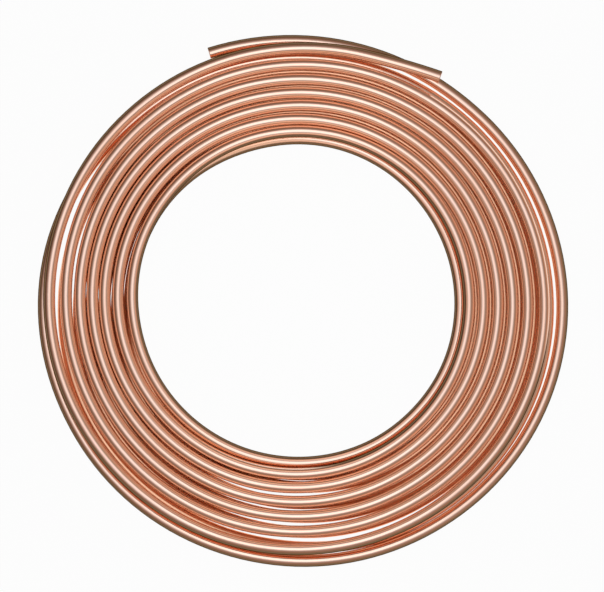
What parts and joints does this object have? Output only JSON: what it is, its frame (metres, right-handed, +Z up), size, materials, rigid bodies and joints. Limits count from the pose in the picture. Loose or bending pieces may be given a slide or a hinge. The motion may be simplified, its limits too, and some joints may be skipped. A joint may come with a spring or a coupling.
{
  "type": "copper tube coil",
  "caption": "Flat coil of soft copper tube, wound in two layers with open turns, an empty centre and two free cut ends.",
  "frame": {"origin": "centre of the coil's outline on the floor, at the underside of the lower layer", "axes": "+Z up along the coil's axis, +Y towards the side with the two free ends, +X to the right of it seen from above"},
  "size_m": [0.419, 0.4204, 0.019],
  "materials": {
    "copper": "bright drawn copper, satin, with a sharp highlight along each turn"
  },
  "bodies": {
    "root": {"copper_tube_coil": "copper"}
  },
  "joints": []
}
